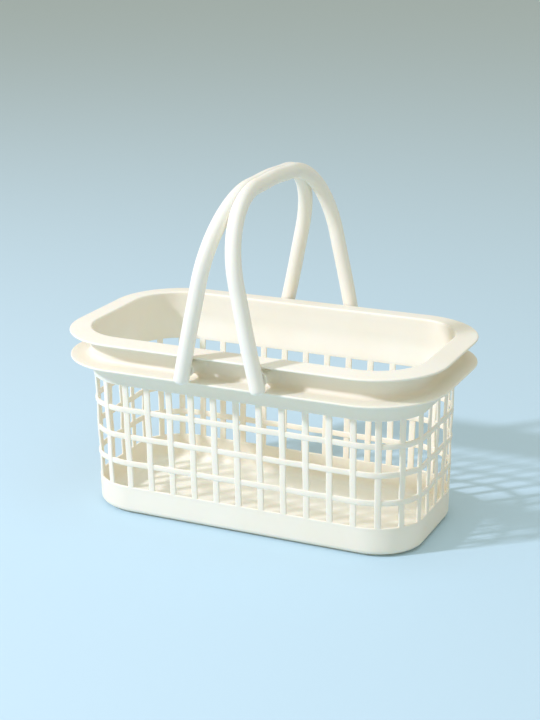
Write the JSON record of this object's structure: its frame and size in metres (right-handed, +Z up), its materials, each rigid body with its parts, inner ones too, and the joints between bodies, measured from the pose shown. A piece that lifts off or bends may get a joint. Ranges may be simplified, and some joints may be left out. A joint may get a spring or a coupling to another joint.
{
  "type": "shower caddy",
  "caption": "Rectangular open bath caddy with a lattice basket, a double-flanged rim and two bail handles that meet above the middle and fold down outside the ends.",
  "frame": {"origin": "under the middle of the basket's base, on the surface it stands on", "axes": "+X along the basket's length, +Y across it towards the back, +Z up"},
  "size_m": [0.34, 0.2198, 0.3008],
  "materials": {
    "basket_plastic": "satin moulded polypropylene, cream white",
    "handle_plastic": "smooth satin moulded polypropylene, cream white"
  },
  "bodies": {
    "basket": {"base_floor": "basket_plastic", "base_skirt": "basket_plastic", "front_lattice": "basket_plastic", "back_lattice": "basket_plastic", "left_end_lattice": "basket_plastic", "right_end_lattice": "basket_plastic", "front_left_corner_lattice": "basket_plastic", "back_left_corner_lattice": "basket_plastic", "front_right_corner_lattice": "basket_plastic", "back_right_corner_lattice": "basket_plastic", "rim_band": "basket_plastic", "lower_flange": "basket_plastic", "channel_wall": "basket_plastic", "upper_flange": "basket_plastic", "front_left_pivot_boss": "basket_plastic", "back_left_pivot_boss": "basket_plastic", "front_right_pivot_boss": "basket_plastic", "back_right_pivot_boss": "basket_plastic"},
    "left_handle": {"left_handle": "handle_plastic"},
    "right_handle": {"right_handle": "handle_plastic"}
  },
  "joints": [
    {"name": "left_handle_fold", "type": "hinge", "parent": "basket", "child": "left_handle", "pos_m": [-0.0327, 0, 0.15095], "axis": [0, -1, 0], "range_deg": [0, 132]},
    {"name": "right_handle_fold", "type": "hinge", "parent": "basket", "child": "right_handle", "pos_m": [0.0327, 0, 0.15095], "axis": [0, 1, 0], "range_deg": [0, 132]}
  ]
}
